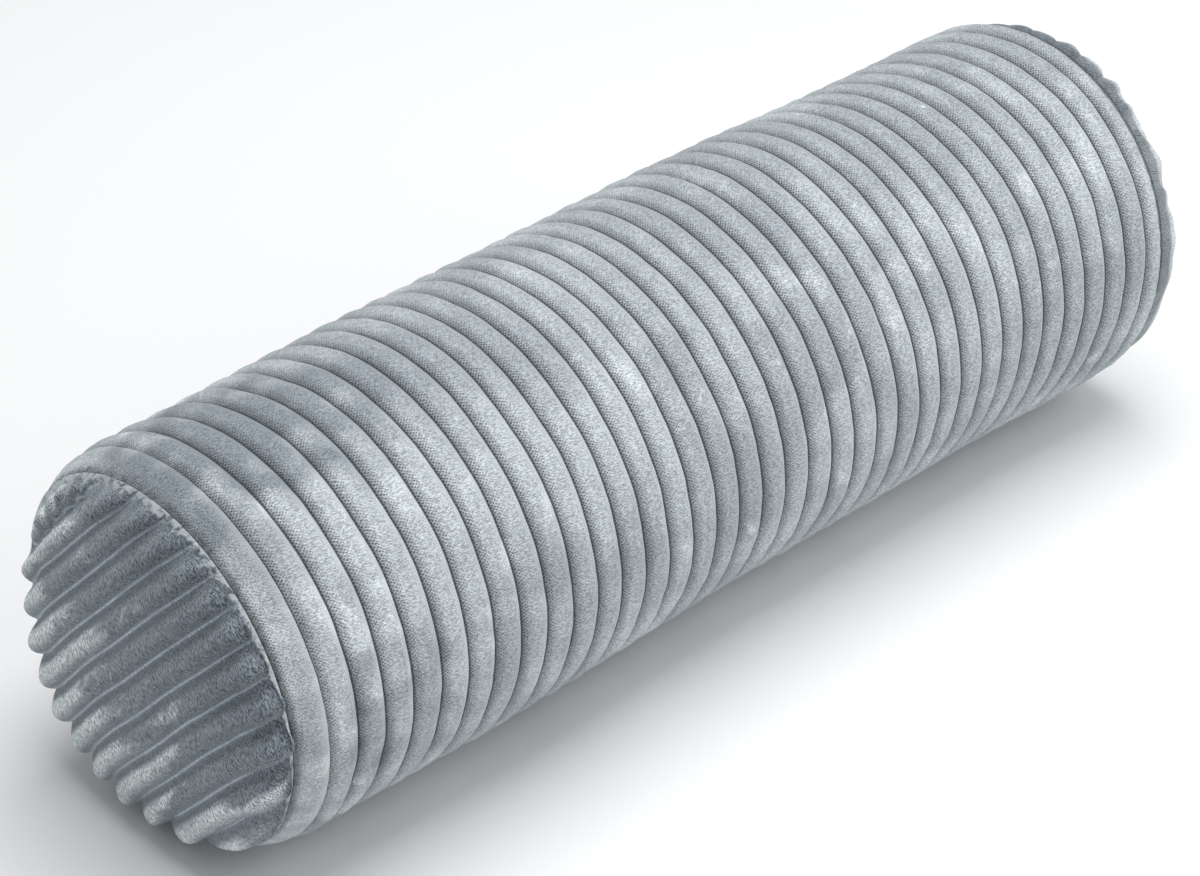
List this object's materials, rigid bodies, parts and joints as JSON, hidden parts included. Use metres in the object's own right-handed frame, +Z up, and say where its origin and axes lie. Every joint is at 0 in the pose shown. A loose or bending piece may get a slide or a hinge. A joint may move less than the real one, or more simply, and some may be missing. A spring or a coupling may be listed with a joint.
{
  "type": "neck roll",
  "caption": "Firm cylindrical neck roll in wide-ribbed short plush: ribs run round the tube, and a domed, ribbed round panel is sewn into each end.",
  "frame": {"origin": "on the surface that the roll rests on, under the middle of its length", "axes": "+X along the roll, from the end disc that the picture shows to the hidden one; +Z up; the ribs of the tube run round X"},
  "size_m": [0.4394, 0.1457, 0.1403],
  "materials": {
    "ribbed_plush": "matt short-pile polyester plush with wide raised ribs, grey-blue, brushed lighter and darker"
  },
  "bodies": {
    "root": {"roll_body": "ribbed_plush", "end_disc_near": "ribbed_plush", "end_disc_far": "ribbed_plush"}
  },
  "joints": []
}
